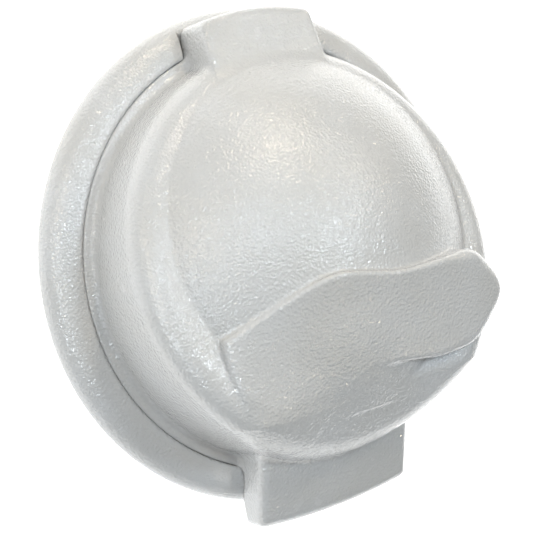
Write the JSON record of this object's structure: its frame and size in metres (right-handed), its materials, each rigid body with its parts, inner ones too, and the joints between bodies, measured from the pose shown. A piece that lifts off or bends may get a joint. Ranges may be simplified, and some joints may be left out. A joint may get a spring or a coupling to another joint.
{
  "type": "deck fill cap",
  "caption": "Round white deck filler with a domed flip-up cover, grip ridge and lift tab, hinged over a screw plug with a relief valve, and a hose tail below deck.",
  "frame": {"origin": "centre of the flange on the deck surface, which is the middle of the deck screw circle", "axes": "+Z out of the deck, +Y towards the hinge block, -Y towards the lift tab, +X completes a right-handed frame"},
  "size_m": [0.104, 0.1073, 0.0862],
  "materials": {
    "white_moulding": "pebble-grained satin gloss",
    "black_rubber": "moulded matt",
    "stainless": "polished",
    "stainless_sheet": "brushed",
    "spring_wire": "drawn wire",
    "black_nylon": "glass-filled, fine texture",
    "grip_nylon": "fine texture",
    "acetal": "smooth"
  },
  "bodies": {
    "fitting": {"deck_base": "white_moulding", "deck_gasket": "black_rubber", "mounting_screws": "stainless", "hose_tail": "black_nylon", "neck_seal": "black_rubber", "gland_ring": "black_nylon", "hinge_pin": "stainless", "pin_clips": "stainless", "hinge_spring": "spring_wire"},
    "cover": {"cover_shell": "white_moulding", "cover_seal": "black_rubber", "hinge_leaf": "stainless_sheet", "leaf_screws": "stainless"},
    "plug_carriage": {"plug_seal": "black_rubber"},
    "plug": {"plug_core": "black_nylon", "plug_grip": "grip_nylon", "grip_screws": "stainless", "valve_spring": "spring_wire"},
    "relief_valve": {"valve_poppet": "acetal", "valve_seal": "black_rubber", "valve_retainer": "acetal"}
  },
  "joints": [
    {"name": "cover_hinge", "type": "hinge", "parent": "fitting", "child": "cover", "pos_m": [0, 0.0445, 0.0092], "axis": [-1, 0, 0], "range_deg": [0, 105], "stiffness_Nm_per_rad": 0.03, "springref_deg": -45.84},
    {"name": "plug_rise", "type": "slide", "parent": "fitting", "child": "plug_carriage", "axis": [0, 0, 1], "range_m": [0, 0.007]},
    {"name": "plug_turn", "type": "hinge", "parent": "plug_carriage", "child": "plug", "pos_m": [0, 0, 0.01], "axis": [0, 0, 1], "range_deg": [0, 210]},
    {"name": "valve_lift", "type": "slide", "parent": "plug", "child": "relief_valve", "axis": [0, 0, 1], "range_m": [0, 0.0015], "stiffness_N_per_m": 150, "springref_m": -0.002, "deforming": ["valve_spring"]}
  ],
  "couplings": [
    {"joint": "plug_turn", "follows": "plug_rise", "rad_per_m": 523.6}
  ]
}
